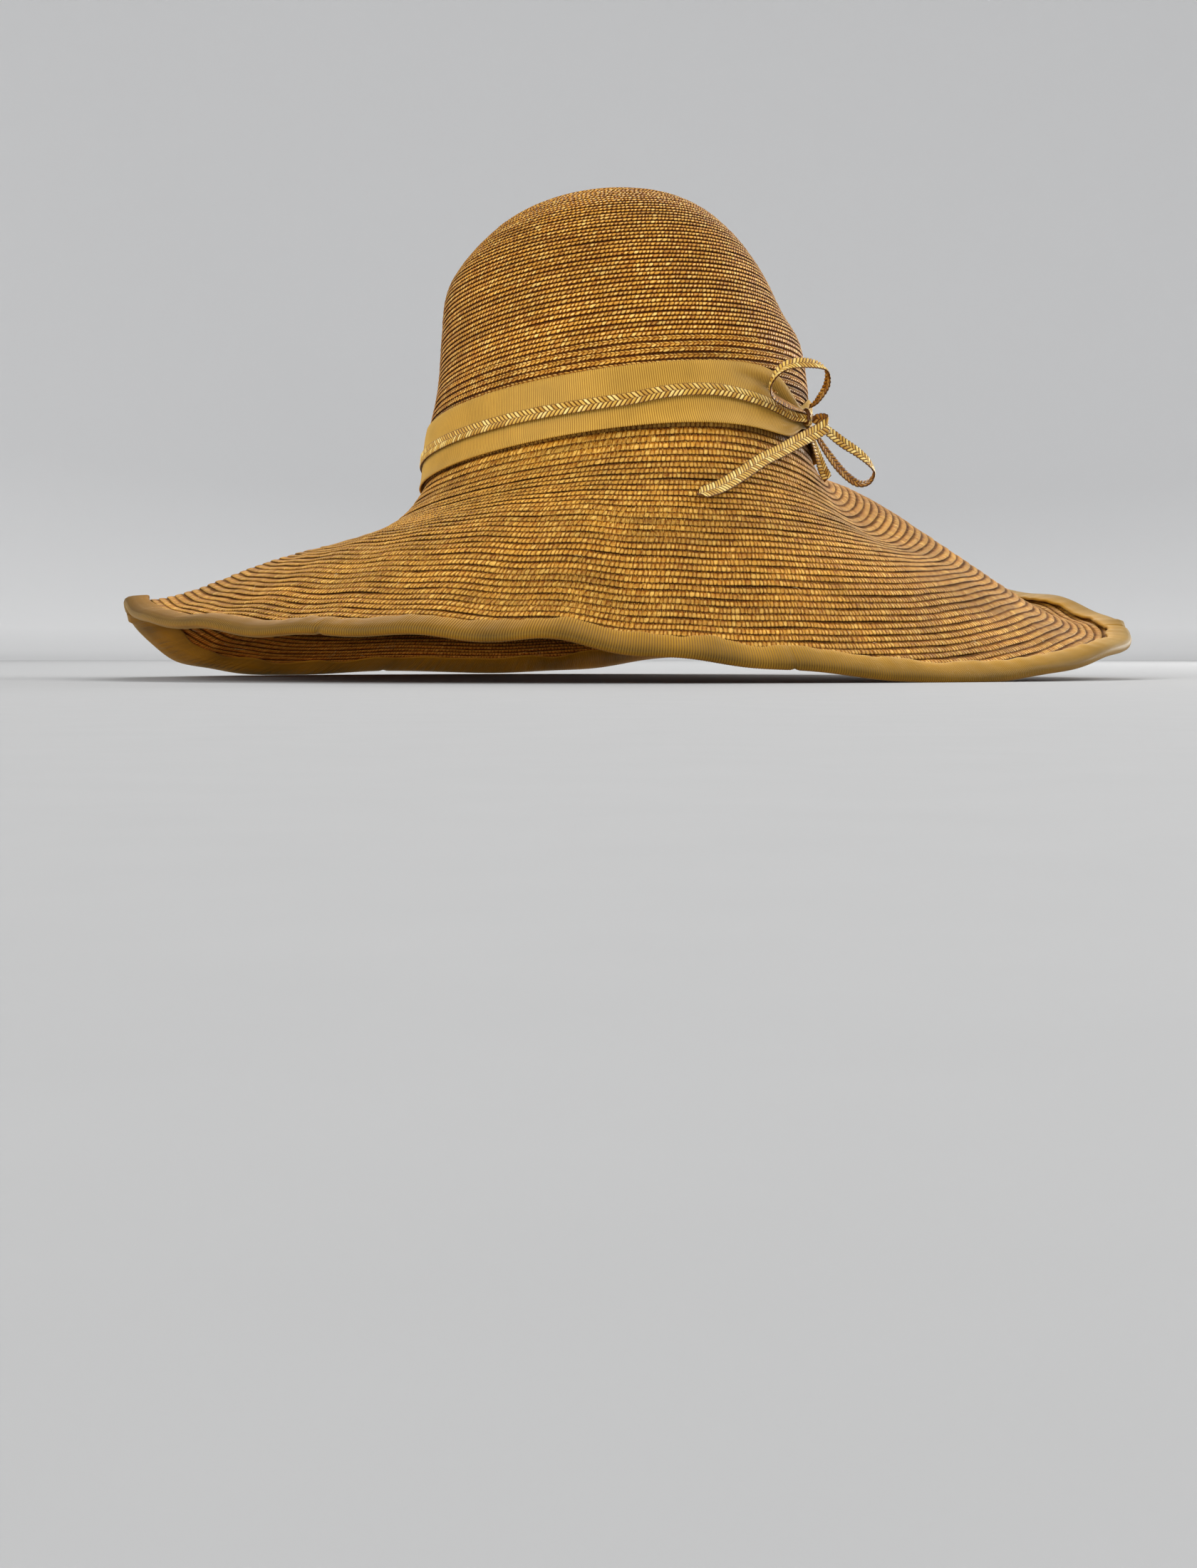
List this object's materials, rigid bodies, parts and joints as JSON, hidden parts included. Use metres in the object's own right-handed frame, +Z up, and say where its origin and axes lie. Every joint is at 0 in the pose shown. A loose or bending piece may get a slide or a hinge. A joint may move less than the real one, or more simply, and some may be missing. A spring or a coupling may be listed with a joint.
{
  "type": "wide brim hat",
  "caption": "Wide brim sewn straw hat with a domed crown, a drooping wavy brim, ribbon bands with a plaited trim and a small plaited bow.",
  "frame": {"origin": "middle of the footprint, on the surface that the rim rests on", "axes": "+Z up out of the crown, -Y to the front of the hat, +X to the wearer's left"},
  "size_m": [0.476, 0.449, 0.2318],
  "materials": {
    "straw_braid": "sewn straw braid, golden mustard, slightly glossy strands",
    "grosgrain_band": "ribbed ribbon, bright mustard, soft sheen",
    "grosgrain_rim": "ribbed ribbon folded over the rim, mustard, soft sheen",
    "plaited_trim": "narrow plaited straw, pale gold, glossy cells"
  },
  "bodies": {
    "root": {"crown": "straw_braid", "brim": "straw_braid", "rim_binding": "grosgrain_rim", "ribbon_upper": "grosgrain_band", "ribbon_lower": "grosgrain_band", "braid_trim": "plaited_trim", "bow_knot": "plaited_trim", "bow_loop_upper": "plaited_trim", "bow_loop_lower": "plaited_trim", "bow_tail_front": "plaited_trim", "bow_tail_back": "plaited_trim"}
  },
  "joints": []
}
